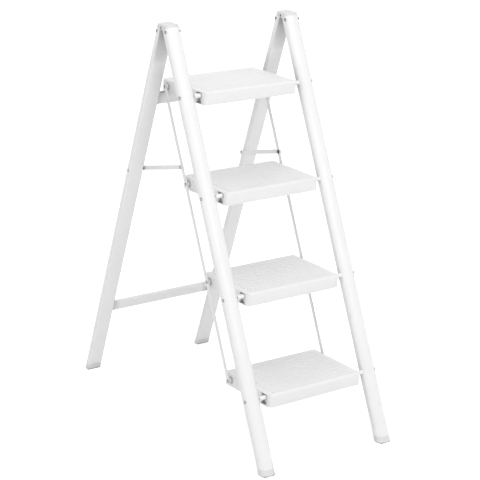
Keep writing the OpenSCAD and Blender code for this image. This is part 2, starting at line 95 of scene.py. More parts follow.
def linear(hex_colour):
    """sRGB hex to linear RGBA: a share up to 0.04045 is divided by 12.92, and a higher one
    plus 0.055, divided by 1.055, is taken to the power 2.4."""
    share = np.array([int(hex_colour[i:i + 2], 16) for i in (1, 3, 5)]) / 255
    low = share / 12.92
    high = ((share + 0.055) / 1.055) ** 2.4
    return (*np.where(share <= 0.04045, low, high), 1.0)


def node(tree, kind, settings=(), links=()):
    """Adds a node to the tree. Settings go to its properties or sockets, and links join
    sources to its sockets."""
    made = tree.nodes.new(kind)
    for key, value in dict(settings).items():
        if isinstance(key, str) and hasattr(made, key):
            setattr(made, key, value)
        else:
            made.inputs[key].default_value = value
    for key, source in dict(links).items():
        tree.links.new(source, made.inputs[key])
    return made


def seen_or_mirrored(tree):
    """1 for rays from the camera and for those that gloss or glass sends on, otherwise 0."""
    path = node(tree, "ShaderNodeLightPath")
    both = node(tree, "ShaderNodeMath", {"operation": "MAXIMUM"},
                {0: path.outputs["Is Camera Ray"], 1: path.outputs["Is Glossy Ray"]})
    return node(tree, "ShaderNodeMath", {"operation": "MAXIMUM"},
                {0: both.outputs[0], 1: path.outputs["Is Transmission Ray"]}).outputs[0]


def lamp(name, azimuth, elevation, width, height, power):
    """An area lamp on a sphere round the stool's middle, facing it. Azimuth 0 is the front,
    and a negative one is to its left. Angles in degrees, power in watts."""
    area = bpy.data.lights.new(name, "AREA")
    area.shape = "RECTANGLE"
    area.size, area.size_y = width, height
    area.energy = power
    lit = bpy.data.objects.new(name, area)
    a, e = math.radians(azimuth), math.radians(elevation)
    away = Vector((math.sin(a) * math.cos(e), -math.cos(a) * math.cos(e), math.sin(e)))
    turn = away.to_track_quat("Z", "Y").to_matrix().to_4x4()
    turn.translation = LOOK_AT + away * LAMP_DISTANCE
    lit.matrix_world = turn
    bpy.context.scene.collection.objects.link(lit)


world = bpy.data.worlds.new("white_cove")
bpy.context.scene.world = world
world.use_nodes = True
sky = world.node_tree
sky.nodes.clear()
# The light rises with the height of its direction, and falls with the square of its x by
# a loss that goes from the left one to the right one.
ray = node(sky, "ShaderNodeSeparateXYZ", {},
           {0: node(sky, "ShaderNodeTexCoord").outputs["Object"]})
rise = node(sky, "ShaderNodeMapRange", {"To Min": SKY_AT_HORIZON, "To Max": SKY_OVERHEAD},
            {"Value": ray.outputs["Z"]})
x_squared = node(sky, "ShaderNodeMath", {"operation": "MULTIPLY"},
                 {0: ray.outputs["X"], 1: ray.outputs["X"]})
loss = node(sky, "ShaderNodeMapRange",
            {"From Min": -1.0, "To Min": -SKY_LEFT_LOSS, "To Max": -SKY_RIGHT_LOSS},
            {"Value": ray.outputs["X"]})
kept = node(sky, "ShaderNodeMath", {"operation": "MULTIPLY_ADD", 2: 1.0},
            {0: x_squared.outputs[0], 1: loss.outputs[0]})
wall = node(sky, "ShaderNodeMath", {"operation": "MULTIPLY"},
            {0: rise.outputs[0], 1: kept.outputs[0]})
soft = node(sky, "ShaderNodeBackground", {"Color": (1, 1, 1, 1)}, {"Strength": wall.outputs[0]})
plain = node(sky, "ShaderNodeBackground", {"Color": (1, 1, 1, 1), "Strength": 1.0})
blend = node(sky, "ShaderNodeMixShader", {},
             {0: seen_or_mirrored(sky), 1: soft.outputs[0], 2: plain.outputs[0]})
node(sky, "ShaderNodeOutputWorld", {}, {"Surface": blend.outputs[0]})

# White paper: quite matt, with a glow that only the camera and gloss or glass see, so that
# it runs out to white and lays no light on the stool.
paper = bpy.data.materials.new("matt_paper_floor")
paper.use_nodes = True
tree = paper.node_tree
tree.nodes.clear()
matt = node(tree, "ShaderNodeBsdfDiffuse", {"Color": linear(FLOOR_COLOUR), "Roughness": 1.0})
glow = node(tree, "ShaderNodeEmission", {"Color": (1, 1, 1, 1)})
level = node(tree, "ShaderNodeMath", {"operation": "MULTIPLY", 1: FLOOR_GLOW},
             {0: seen_or_mirrored(tree)})
tree.links.new(level.outputs[0], glow.inputs["Strength"])
both = node(tree, "ShaderNodeAddShader", {}, {0: matt.outputs[0], 1: glow.outputs[0]})
node(tree, "ShaderNodeOutputMaterial", {}, {"Surface": both.outputs[0]})

half = FLOOR_SIZE / 2
corners = [(-half, -half, 0), (half, -half, 0), (half, half, 0), (-half, half, 0)]
sheet = bpy.data.meshes.new("floor")
sheet.from_pydata(corners, [], [(0, 1, 2, 3)])
sheet.materials.append(paper)
floor = bpy.data.objects.new("floor", sheet)
bpy.context.scene.collection.objects.link(floor)

lamp("front_strip", azimuth=-8, elevation=26, width=0.8, height=2.6, power=22)
lamp("high_fill", azimuth=-14, elevation=60, width=2.5, height=2.5, power=46)
lamp("low_left_fill", azimuth=-62, elevation=4, width=2.5, height=2.5, power=4)

bpy.context.scene.view_settings.view_transform = "Standard"


# --- Legs ---
# Four legs of steel tube, rolled to a D: flat backs that lie close together when folded,
# and a crowned front. Coated with white polyester powder that is baked on, with painted
# shade on their upper ends in the wedge under the hinge.
LEG_WIDTH = 0.045
LEG_DEPTH = 0.024
LEG_BACK_R = 0.003
LEG_SHOULDER_R = 0.009
LEG_CROWN_R = 0.030
LEG_OFF_AXIS = 0.0035
CORNER_STEPS = 5
SHOULDER_STEPS = 8
CROWN_STEPS = 9
SHOE_HEIGHT = 0.017
TUBE_TOP = -0.0075  # along the leg, from the hinge axis
TUBE_EDGE = 0.0005
EDGE_STEPS = 3
SHARP_ANGLE = math.radians(32.0)
COAT_LIGHT = "#f4f4f4"
COAT_DARK = "#efefef"
COAT_ROUGHNESS = (0.16, 0.22)
COAT_IOR = 1.5
PATCHES_PER_METRE = 9.0
PEEL_PER_METRE = 165.0
PEEL_STRENGTH = 0.25
PEEL_DEPTH = 0.0003
# Painted shade where parts stand close: how steeply it falls, how it fades in with height, and its
# rays.
SHADE_FALL = 3.0
SHADE_FADE = 0.15
SHADE_RAYS = 8
# Painted shade in the wedge under the hinge: its colour, its reach, and the height it starts from.
HINGE_SHADE = "#c2c2c2"
HINGE_SHADE_REACH = 0.08
HINGE_SHADE_ABOVE = 0.80

# Sockets of a Mix node: its share, its two numbers, its two colours and its colour out.
MIX_SHARE, NUMBER_A, NUMBER_B, COLOUR_A, COLOUR_B = 0, 2, 3, 6, 7
COLOUR_OUT = 2

hinge = Vector(next(j["pos_m"] for j in frame["joints"] if j["name"] == "rear_fold"))


def painted_corner_shade(tree, tone, colour, reach, above=None):
    """Painted shade: the tone, taken towards a shade colour where a surface has another close in
    front of it, as ambient occlusion finds it: the open share to the power SHADE_FALL stays
    unshaded. With a height, all below that stays unshaded too, and the shade comes in over
    SHADE_FADE."""
    gap = node(tree, "ShaderNodeAmbientOcclusion", {"Distance": reach, "samples": SHADE_RAYS})
    unshaded = node(tree, "ShaderNodeMath", {"operation": "POWER", 1: SHADE_FALL},
                 {0: gap.outputs["AO"]})
    if above:
        place = node(tree, "ShaderNodeSeparateXYZ", {},
                     {0: node(tree, "ShaderNodeTexCoord").outputs["Object"]})
        high = node(tree, "ShaderNodeMapRange",
                    {"From Min": above, "From Max": above + SHADE_FADE},
                    {"Value": place.outputs["Z"]})
        unshaded = node(tree, "ShaderNodeMix", {"data_type": "FLOAT", NUMBER_A: 1.0},
                     {MIX_SHARE: high.outputs[0], NUMBER_B: unshaded.outputs[0]})
    return node(tree, "ShaderNodeMix", {"data_type": "RGBA", COLOUR_A: linear(colour)},
                {MIX_SHARE: unshaded.outputs[0], COLOUR_B: tone.outputs[COLOUR_OUT]})


def powder_coat(name, shade_tint=None, reach=0.0, above=None):
    """Semi-gloss polyester powder on steel: an even white with soft-edged highlights and the
    shallow waves of flowed powder (orange peel, about 1.5 mm long, drawn at 6 mm so that
    they show), and patches 110 mm across that differ a little in tone and gloss."""
    made = bpy.data.materials.new(name)
    made.use_nodes = True
    tree = made.node_tree
    tree.nodes.clear()
    spot = node(tree, "ShaderNodeTexCoord").outputs["Object"]
    patch = node(tree, "ShaderNodeTexNoise", {"Scale": PATCHES_PER_METRE, "Detail": 3.0},
                 {"Vector": spot})
    tone = node(tree, "ShaderNodeMix",
                {"data_type": "RGBA", COLOUR_A: linear(COAT_DARK), COLOUR_B: linear(COAT_LIGHT)},
                {MIX_SHARE: patch.outputs["Fac"]})
    # Painted shade where other parts stand close, when a shade colour is given.
    if shade_tint:
        tone = painted_corner_shade(tree, tone, shade_tint, reach, above)
    peel = node(tree, "ShaderNodeTexNoise", {"Scale": PEEL_PER_METRE, "Detail": 2.0},
                {"Vector": spot})
    gloss = node(tree, "ShaderNodeMapRange",
                 {"To Min": COAT_ROUGHNESS[0], "To Max": COAT_ROUGHNESS[1]},
                 {"Value": patch.outputs["Fac"]})
    bump = node(tree, "ShaderNodeBump", {"Strength": PEEL_STRENGTH, "Distance": PEEL_DEPTH},
                {"Height": peel.outputs["Fac"]})
    shell = node(tree, "ShaderNodeBsdfPrincipled", {"IOR": COAT_IOR},
                 {"Base Color": tone.outputs[COLOUR_OUT], "Roughness": gloss.outputs[0],
                  "Normal": bump.outputs[0]})
    node(tree, "ShaderNodeOutputMaterial", {}, {"Surface": shell.outputs[0]})
    return made


def arc(centre, radius, start, end, steps):
    """Points of a circle: the centre plus the radius times the cosine and sine of evenly
    spread angles, from the start to the end in degrees."""
    angle = np.radians(np.linspace(start, end, steps + 1))
    return np.array(centre) + radius * np.stack([np.cos(angle), np.sin(angle)], axis=1)


def rounded_ends(low, high, edge):
    """Stations from low to high with the outline's inset at each: a quarter circle at both
    ends, as the edge less its cosine along and less its sine across."""
    angle = np.radians(np.linspace(0, 90, EDGE_STEPS + 1))
    near = low + edge * (1 - np.cos(angle))
    inset = edge * (1 - np.sin(angle))
    return np.concatenate([near, low + high - near[::-1]]), np.concatenate([inset, inset[::-1]])


def outward(rings, ends):
    """The rings, turned round where the volume inside, a sum of triple products, comes out
    negative. Without ends, the last joins the first."""
    rings = rings if ends else np.concatenate([rings, rings[:1]])
    after = np.roll(rings, -1, axis=1)
    a, b, c, d = rings[:-1], after[:-1], after[1:], rings[1:]
    volume = np.sum(a * np.cross(b, c)) + np.sum(a * np.cross(c, d))
    for ring, nxt, way in ((rings[0], after[0], -1), (rings[-1], after[-1], 1)):
        volume += way * np.sum(ring.mean(axis=0) * np.cross(ring, nxt))
    rings = rings if ends else rings[:-1]
    return rings if volume > 0 else rings[:, ::-1]


def ring_mesh(name, shells, ends=True):
    """Each shell is a stack of closed rings: quads join ring to ring. A flat face closes each
    end, or the last ring joins the first."""
    points, faces, start = [], [], 0
    for rings in (outward(shell, ends) for shell in shells):
        count, size = rings.shape[:2]
        index = start + np.arange(count * size).reshape(count, size)
        after = np.roll(index, -1, axis=1)
        quads = np.stack([index[:-1], after[:-1], after[1:], index[1:]], axis=-1).reshape(-1, 4)
        faces += quads.tolist()
        if ends:
            faces += [index[0][::-1].tolist(), index[-1].tolist()]
        else:
            faces += np.stack([index[-1], after[-1], after[0], index[0]], axis=-1).tolist()
        points.append(rings.reshape(-1, 3))
        start += count * size
    mesh = bpy.data.meshes.new(name)
    mesh.from_pydata(np.concatenate(points).tolist(), [], faces)
    mesh.polygons.foreach_set("use_smooth", np.ones(len(mesh.polygons), bool))
    mesh.set_sharp_from_angle(angle=SHARP_ANGLE)
    return mesh


def piece(name, mesh, materials, body, slot, *nodes):
    """An object for the mesh, which rides on a body, takes the materials and stands for CAD
    nodes, which it hides. The slot is not used."""
    for material in materials:
        mesh.materials.append(material)
    made = bpy.data.objects.new(name, mesh)
    bpy.context.scene.collection.objects.link(made)
    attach(made, body)
    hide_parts(*nodes)
    return made


def leg_outline(inset):
    """The D: corner, shoulder, crown, shoulder and corner arcs that meet with one tangent. Out
    from the back is +y."""
    half_width = LEG_WIDTH / 2 - inset
    shoulder_x = half_width - (LEG_SHOULDER_R - inset)
    crown_y = LEG_DEPTH - LEG_CROWN_R
    shoulder_y = crown_y + math.sqrt((LEG_CROWN_R - LEG_SHOULDER_R) ** 2 - shoulder_x ** 2)
    meet = math.degrees(math.atan2(shoulder_y - crown_y, shoulder_x))
    corner = LEG_BACK_R - inset
    right_half = np.concatenate([
        arc((half_width - corner, LEG_BACK_R), corner, -90, 0, CORNER_STEPS),
        arc((shoulder_x, shoulder_y), LEG_SHOULDER_R - inset, 0, meet, SHOULDER_STEPS),
        arc((0, crown_y), LEG_CROWN_R - inset, meet, 90, CROWN_STEPS)[1:],
    ])
    left_half = right_half[::-1] * (-1, 1)
    return np.concatenate([right_half, left_half[1:]])


def leg_lean(low, high):
    """The lean whose crown line passes the box's far lower edge: drop times sine plus depth
    equals reach times cosine."""
    drop = hinge.z - low.z
    reach = max(abs(low.y - hinge.y), abs(high.y - hinge.y))
    crown = LEG_OFF_AXIS + LEG_DEPTH
    return math.acos(crown / math.hypot(drop, reach)) - math.atan2(drop, reach)


def along_leg(across, out, up_leg, lean, way):
    """From leg coordinates to the frame: out and up turn by the lean about the hinge axis,
    forwards or backwards."""
    y = hinge.y + way * (out * math.cos(lean) - up_leg * math.sin(lean))
    z = hinge.z + out * math.sin(lean) + up_leg * math.cos(lean)
    return np.stack(np.broadcast_arrays(across, y, z), axis=-1)


def leg_rings(centre_x, lean, way):
    """The outline carried up the leg from a level cut above the shoe to a square cut under
    the cap, and drawn in at both cuts along a quarter circle."""
    stations, insets = rounded_ends(0.0, 1.0, TUBE_EDGE)
    rings = []
    for i in range(EDGE_STEPS + 1):
        outline = leg_outline(insets[i])
        out = outline[:, 1] + LEG_OFF_AXIS
        height = SHOE_HEIGHT + stations[i]
        up_leg = (height - hinge.z - out * math.sin(lean)) / math.cos(lean)
        rings.append((outline, out, up_leg))
    for i in range(EDGE_STEPS, -1, -1):
        outline = leg_outline(insets[i])
        out = outline[:, 1] + LEG_OFF_AXIS
        rings.append((outline, out, np.full(len(out), TUBE_TOP - stations[i])))
    return np.stack([along_leg(centre_x + outline[:, 0], out, up_leg, lean, way)
                     for outline, out, up_leg in rings])


coat = powder_coat("white_polyester_powder_coat")
# The legs' coat carries painted shade in the wedge under the hinge.
leg_coat = powder_coat("white_powder_coat_painted_shade_under_hinge", HINGE_SHADE, HINGE_SHADE_REACH,
                       HINGE_SHADE_ABOVE)
for body, way in (("front", -1), ("rear", 1)):
    for side in ("left", "right"):
        cad_node = f"{body}_leg_{side}"
        low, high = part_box(cad_node)
        rings = leg_rings((low.x + high.x) / 2, leg_lean(low, high), way)
        piece(f"{cad_node}_tube", ring_mesh(cad_node, [rings]), [leg_coat],
              f"{body}_frame", "white_coated_steel", cad_node)


# --- Top caps and shoes ---
# Caps with the hinge knuckles, and shoes with grooved soles. Injection-moulded
# polypropylene pushed into the tube ends; the mould's edges are slightly rounded. The caps
# carry painted shade in narrow gaps, and the shoes are darker in a band along their bottoms.
WELD = 2e-6
FLAT_ANGLE = math.radians(0.5)
EASED_ANGLE = math.radians(30)
EASED_SEGMENTS = 2
PLASTIC_ROUGHNESS = (0.36, 0.44)
PLASTIC_IOR = 1.49
FLOW_PER_METRE = 14.0
GRAIN_PER_METRE = 830.0
GRAIN_STRENGTH = 0.3
GRAIN_DEPTH = 0.0001
CAP_LIGHT = "#e2e2e2"
CAP_DARK = "#dcdcdc"
CAP_EDGE = 0.0012
SHOE_EDGE = 0.0010
# The shoes are darker in a thin band along their bottoms, up to this height.
BOTTOM_BAND_HEIGHT = 0.0024
# Painted shade in narrow gaps: its reach, and its colour on the caps.
GAP_SHADE_REACH = 0.006
CAP_GAP_SHADE = "#8e8e8e"
# The colour of the shoes' darker bottom band.
BOTTOM_BAND_COLOUR = "#7d7d7d"


def moulded_plastic(name, light, dark, bottom_band=None, gap_shade=None):
    """Polypropylene from a spark-eroded mould: dull white with a fine even grain (0.3 mm,
    drawn at 1.2 mm so that it shows) and faint flow patches, 70 mm across. A bottom-band
    colour makes it darker below BOTTOM_BAND_HEIGHT, and a gap-shade colour paints shade into
    narrow gaps and grooves."""
    made = bpy.data.materials.new(name)
    made.use_nodes = True
    tree = made.node_tree
    tree.nodes.clear()
    spot = node(tree, "ShaderNodeTexCoord").outputs["Object"]
    flow = node(tree, "ShaderNodeTexNoise", {"Scale": FLOW_PER_METRE, "Detail": 4.0},
                {"Vector": spot})
    tone = node(tree, "ShaderNodeMix",
                {"data_type": "RGBA", COLOUR_A: linear(dark), COLOUR_B: linear(light)},
                {MIX_SHARE: flow.outputs["Fac"]})
    # Darker below the band's height.
    if bottom_band:
        height = node(tree, "ShaderNodeSeparateXYZ", {}, {0: spot}).outputs["Z"]
        low = node(tree, "ShaderNodeMath", {"operation": "LESS_THAN", 1: BOTTOM_BAND_HEIGHT},
                   {0: height})
        tone = node(tree, "ShaderNodeMix", {"data_type": "RGBA", COLOUR_B: linear(bottom_band)},
                    {MIX_SHARE: low.outputs[0], COLOUR_A: tone.outputs[COLOUR_OUT]})
    # Painted shade in narrow gaps and grooves.
    if gap_shade:
        tone = painted_corner_shade(tree, tone, gap_shade, GAP_SHADE_REACH)
    grain = node(tree, "ShaderNodeTexNoise", {"Scale": GRAIN_PER_METRE, "Detail": 1.0},
                 {"Vector": spot})
    gloss = node(tree, "ShaderNodeMapRange",
                 {"To Min": PLASTIC_ROUGHNESS[0], "To Max": PLASTIC_ROUGHNESS[1]},
                 {"Value": flow.outputs["Fac"]})
    bump = node(tree, "ShaderNodeBump", {"Strength": GRAIN_STRENGTH, "Distance": GRAIN_DEPTH},
                {"Height": grain.outputs["Fac"]})
    shell = node(tree, "ShaderNodeBsdfPrincipled", {"IOR": PLASTIC_IOR},
                 {"Base Color": tone.outputs[COLOUR_OUT], "Roughness": gloss.outputs[0],
                  "Normal": bump.outputs[0]})
    node(tree, "ShaderNodeOutputMaterial", {}, {"Surface": shell.outputs[0]})
    return made


def merged_copy(cad_node, added=()):
    """A copy of a CAD node: corners that coincide are joined and flat areas become one face.
    Added meshes join it."""
    source = frame["nodes"][cad_node].data
    points = np.zeros(len(source.vertices) * 3, np.float32)
    source.vertices.foreach_get("co", points)
    corners = np.zeros(len(source.loops), np.int32)
    source.loops.foreach_get("vertex_index", corners)
    mesh = bpy.data.meshes.new(cad_node)
    mesh.from_pydata(points.reshape(-1, 3).tolist(), [], corners.reshape(-1, 3).tolist())
    solid = bmesh.new()
    solid.from_mesh(mesh)
    bmesh.ops.remove_doubles(solid, verts=solid.verts, dist=WELD)
    bmesh.ops.dissolve_limit(solid, angle_limit=FLAT_ANGLE, verts=solid.verts,
                             edges=solid.edges)
    for extra in added:
        solid.from_mesh(extra)
    solid.to_mesh(mesh)
    solid.free()
    mesh.polygons.foreach_set("use_smooth", np.ones(len(mesh.polygons), bool))
    return mesh


def eased(made, width):
    """Rounds the sharp edges, as a mould does."""
    bevel = made.modifiers.new("eased_edges", "BEVEL")
    bevel.width = width
    bevel.segments = EASED_SEGMENTS
    bevel.limit_method = "ANGLE"
    bevel.angle_limit = EASED_ANGLE
    bevel.harden_normals = True


# The caps carry painted shade in the narrow gaps round them.
cap_plastic = moulded_plastic("pale_grey_moulded_polypropylene_with_painted_gap_shade", CAP_LIGHT, CAP_DARK,
                              gap_shade=CAP_GAP_SHADE)
# The shoes are darker in a thin band along their bottoms.
shoe_plastic = moulded_plastic("pale_grey_shoe_darker_at_bottom", CAP_LIGHT, CAP_DARK,
                               bottom_band=BOTTOM_BAND_COLOUR)
for body in ("front", "rear"):
    for side in ("left", "right"):
        cap = f"{body}_cap_{side}"
        made = piece(f"{cap}_moulding", merged_copy(cap), [cap_plastic],
                     f"{body}_frame", "white_plastic", cap)
        eased(made, CAP_EDGE)
        shoe = f"{body}_foot_{side}"
        made = piece(f"{shoe}_moulding", merged_copy(shoe), [shoe_plastic],
                     f"{body}_frame", "white_plastic", shoe)
        eased(made, SHOE_EDGE)


# --- Treads ---
# Four equal mouldings: a ribbed plate with a skirt, stiffening ribs below, and open pockets
# round the front pins. White polypropylene with a fine mould grain, and painted shade in
# the rib grooves and where other parts stand close.
TREADS = 4
TREAD_EDGE = 0.0004
TREAD_LIGHT = "#f1f1f1"
TREAD_DARK = "#ececec"
# Painted shade in the rib grooves and where rods, legs and sleeves stand close.
TREAD_GAP_SHADE = "#a0a0a0"
TREAD_END_X = 0.153
TREAD_LOW = 0.0235
POCKET_DEPTH = 0.014
SHALLOW_DEPTH = 0.009
LINER_FORE = 0.010
LINER_AFT = 0.017
LINER_TOP = 0.009
LINER_HOLE_R = 0.0082
LINER_STEP = 7.5  # degrees between its rays
LINER_SINK = 0.001  # into the pocket's own back wall
WEB_THICKNESS = 0.0016
WEB_EDGE = 0.0007


def spot_of(joint):
    """Where a joint stands in the side view, as (y, z)."""
    return np.array(next(j["pos_m"] for j in frame["joints"] if j["name"] == joint)[1:])


def carried(outline, x1, x2, edge):
    """An outline of the side view carried along x from x1 to x2, and drawn in at both ends
    along a quarter circle."""
    stations, insets = rounded_ends(min(x1, x2), max(x1, x2), edge)
    rings = [outline(inset) for inset in insets]
    return np.stack([np.column_stack([np.full(len(ring), x), ring])
                     for ring, x in zip(rings, stations)])


def pocket_liner(pivot, way):
    """The pocket's back wall, which leaves a deep round hole for the sleeve: rays from the
    pivot, each ended by the nearest side of a rectangle outside and by a circle inside."""
    angle = np.radians(np.arange(0, 360, LINER_STEP) + LINER_STEP / 2)
    ray = np.column_stack([np.cos(angle), np.sin(angle)])
    reach = np.where(ray > 0, (LINER_AFT, LINER_TOP), (LINER_FORE, TREAD_LOW)) / np.abs(ray)
    outer = pivot + ray * reach.min(axis=1, keepdims=True)
    inner = pivot + ray * LINER_HOLE_R
    stations = way * (TREAD_END_X - np.array([POCKET_DEPTH + LINER_SINK, SHALLOW_DEPTH]))
    loops = [(inner, 0), (outer, 0), (outer, 1), (inner, 1)]
    return np.stack([np.column_stack([np.full(len(ray), stations[k]), loop]) for loop, k in loops])


def pocket_web(pivot, way):
    """The thin web that closes the pocket from below: a flat bar carried across the pocket
    to the tread's end."""
    low = pivot + (-LINER_FORE, -TREAD_LOW)
    high = pivot + (LINER_AFT, WEB_THICKNESS - TREAD_LOW)
    inner = way * (TREAD_END_X - POCKET_DEPTH - LINER_SINK)
    outer = way * TREAD_END_X

    def bar(inset):
        return np.array([low + inset, (high[0] - inset, low[1] + inset),
                         high - inset, (low[0] + inset, high[1] - inset)])

    return carried(bar, inner, outer, WEB_EDGE)


tread_pivots = [spot_of(f"tread_{n}_fold") for n in range(1, TREADS + 1)]
tread_plastic = moulded_plastic("white_moulded_polypropylene_with_painted_gap_shade", TREAD_LIGHT, TREAD_DARK,
                                gap_shade=TREAD_GAP_SHADE)
for n, pivot in enumerate(tread_pivots, 1):
    cad_node = f"tread_{n}"
    liners = ring_mesh(f"pocket_liners_{n}", [pocket_liner(pivot, way) for way in (-1, 1)],
                       ends=False)
    webs = ring_mesh(f"pocket_webs_{n}", [pocket_web(pivot, way) for way in (-1, 1)])
    made = piece(f"{cad_node}_moulding", merged_copy(cad_node, (liners, webs)),
                 [tread_plastic], cad_node, "white_plastic", cad_node)
    eased(made, TREAD_EDGE)


# --- Link rods and stays ---
# Flat steel straps with round ends and eased edges, punched for the rivets and powder
# coated like the legs. Each rod has a round boss that carries its stay.
STRAP_EDGE = 0.0005
STRAP_END_STEPS = 14
ROD_THICKNESS = 0.0025
BOSS_POINTS = 36


def strap(near, far, width):
    """A bar with round ends: half a circle about the far point, and half a circle about the
    near one."""
    heading = math.degrees(math.atan2(far[1] - near[1], far[0] - near[0]))
    return lambda inset: np.concatenate([
        arc(far, width / 2 - inset, heading - 90, heading + 90, STRAP_END_STEPS),
        arc(near, width / 2 - inset, heading + 90, heading + 270, STRAP_END_STEPS),
    ])


def full_round(centre, radius):
    """A circle about the centre, of BOSS_POINTS points."""
    return lambda inset: arc(centre, radius - inset, 0, 360 - 360 / BOSS_POINTS,
                             BOSS_POINTS - 1)


to_link = spot_of("link_rod_left_swing") - tread_pivots[0]
links = [pivot + to_link for pivot in tread_pivots]
for side, way in (("left", -1), ("right", 1)):
    low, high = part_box(f"stay_{side}")
    bolt = spot_of(f"stay_{side}_swing")
    stay_width = 2 * (bolt[1] - low.z)
    stay_end = np.array([low.y + stay_width / 2, high.z - stay_width / 2])
    stay = carried(strap(bolt, stay_end, stay_width), low.x, high.x, STRAP_EDGE)
    piece(f"stay_{side}_strap", ring_mesh(f"stay_{side}", [stay]), [coat], f"stay_{side}",
          "white_coated_steel", f"stay_{side}")
    low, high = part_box(f"link_rod_{side}")
    inner, outer = (low.x, high.x) if way > 0 else (high.x, low.x)
    rod_width = 2 * (links[-1][1] - low.z)
    rod = carried(strap(links[0], links[-1], rod_width), inner, inner + way * ROD_THICKNESS,
                  STRAP_EDGE)
    boss = carried(full_round(stay_end, stay_width / 2), inner, outer, STRAP_EDGE)
    piece(f"link_rod_{side}_strap", ring_mesh(f"link_rod_{side}", [rod, boss]), [coat],
          f"link_rod_{side}", "white_coated_steel", f"link_rod_{side}")


# --- Rear braces ---
# Two flat steel tubes across the rear legs, each with a flange at both ends that is
# welded to the leg. Powder coated with the legs, with painted shade where the tread above
# stands close.
BRACE_THICKNESS = 0.011
BRACE_CORNER_R = 0.003
FLANGE_THICKNESS = 0.0025
FLANGE_RIM = 0.0008
BRACE_CORNER_STEPS = 6
# Painted shade on the braces where the tread above stands close: its colour and reach.
BRACE_SHADE = "#a2a2a2"
BRACE_SHADE_REACH = 0.030

rear_lean = leg_lean(*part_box("rear_leg_left"))


def brace_outline(centre, height, rim):
    """A rectangle with quarter circles for corners, turned by the rear legs' lean. The rim
    widens it all round."""
    def outline(inset):
        grown = rim - inset
        radius = BRACE_CORNER_R + grown
        away = np.array([BRACE_THICKNESS, height]) / 2 - BRACE_CORNER_R
        quarters = ((1, -1), -90), ((1, 1), 0), ((-1, 1), 90), ((-1, -1), 180)
        corners = [arc(away * signs, radius, start, start + 90, BRACE_CORNER_STEPS)
                   for signs, start in quarters]
        flat = np.concatenate(corners)
        cos, sin = math.cos(rear_lean), math.sin(rear_lean)
        return centre + flat @ np.array([[cos, sin], [-sin, cos]])
    return outline


brace_coat = powder_coat("white_powder_coat_painted_shade_under_tread", BRACE_SHADE, BRACE_SHADE_REACH)
for name in ("upper_brace", "lower_brace"):
    low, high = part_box(name)
    centre = np.array([(low.y + high.y) / 2, (low.z + high.z) / 2])
    rise = high.z - low.z - 2 * BRACE_CORNER_R
    thick = BRACE_THICKNESS + 2 * FLANGE_RIM - 2 * BRACE_CORNER_R
    straight = (rise - thick * math.sin(rear_lean)) / math.cos(rear_lean)
    height = straight + 2 * (BRACE_CORNER_R - FLANGE_RIM)
    tube = carried(brace_outline(centre, height, 0),
                   low.x + FLANGE_THICKNESS, high.x - FLANGE_THICKNESS, STRAP_EDGE)
    flanges = [carried(brace_outline(centre, height, FLANGE_RIM),
                       x, x + way * FLANGE_THICKNESS, STRAP_EDGE)
               for x, way in ((low.x, 1), (high.x, -1))]
    piece(f"{name}_tube", ring_mesh(name, [tube, *flanges]), [brace_coat],
          "rear_frame", "white_coated_steel", name)


# --- Pins, rivets, bolts and spacers ---
# Tubular steel fasteners, zinc plated: a rim rolled over the leg or the rod, round a
# hollow end that is near-black inside, which is dark oxide and painted shade. Spacers stand
# on the stays' bolts, sleeves on tread pins.
PIN_R = 0.003
RIVET_R = 0.0025
HEAD_RADIUS = 0.0042
HEAD_HEIGHT = 0.0004
HOLLOW_WALL = 0.0006
HOLLOW_DEPTH = 0.0025
CREST_R = 0.0035
MOUTH_DEPTH = 0.0015
HEAD_STEPS = 5
HOLLOW_STRIPS = 5  # the hollow and its mouth, but for the mouth's outermost strip
TURN_STEPS = 28
SLEEVE_R = 0.006
SLEEVE_EDGE = 0.0006
BEARING_WALL = 0.006
PLAY = 0.0003
FILM_PER_METRE = 300.0
ZINC_LIGHT = "#6a6b6d"
ZINC_DARK = "#505153"
ZINC_ROUGHNESS = 0.40
# The hollow ends: near-black, which is dark oxide and painted shade.
HOLLOW_OXIDE_SHADE_LIGHT = "#242425"
HOLLOW_OXIDE_SHADE_DARK = "#1c1c1d"
HOLLOW_ROUGHNESS = 0.5
ROUGHNESS_SPREAD = 0.06


def turned_steel(name, light, dark, rough):
    """Turned steel, zinc plated, or near-black for the hollow ends, which is dark oxide and
    painted shade: a metal with blotches of duller film, about 3 mm across."""
    made = bpy.data.materials.new(name)
    made.use_nodes = True
    tree = made.node_tree
    tree.nodes.clear()
    spot = node(tree, "ShaderNodeTexCoord").outputs["Object"]
    film = node(tree, "ShaderNodeTexNoise", {"Scale": FILM_PER_METRE, "Detail": 3.0},
                {"Vector": spot})
    tone = node(tree, "ShaderNodeMix",
                {"data_type": "RGBA", COLOUR_A: linear(dark), COLOUR_B: linear(light)},
                {MIX_SHARE: film.outputs["Fac"]})
    gloss = node(tree, "ShaderNodeMapRange",
                 {"To Min": rough - ROUGHNESS_SPREAD, "To Max": rough + ROUGHNESS_SPREAD},
                 {"Value": film.outputs["Fac"]})
    shell = node(tree, "ShaderNodeBsdfPrincipled", {"Metallic": 1.0},
                 {"Base Color": tone.outputs[COLOUR_OUT], "Roughness": gloss.outputs[0]})
    node(tree, "ShaderNodeOutputMaterial", {}, {"Surface": shell.outputs[0]})
    return made


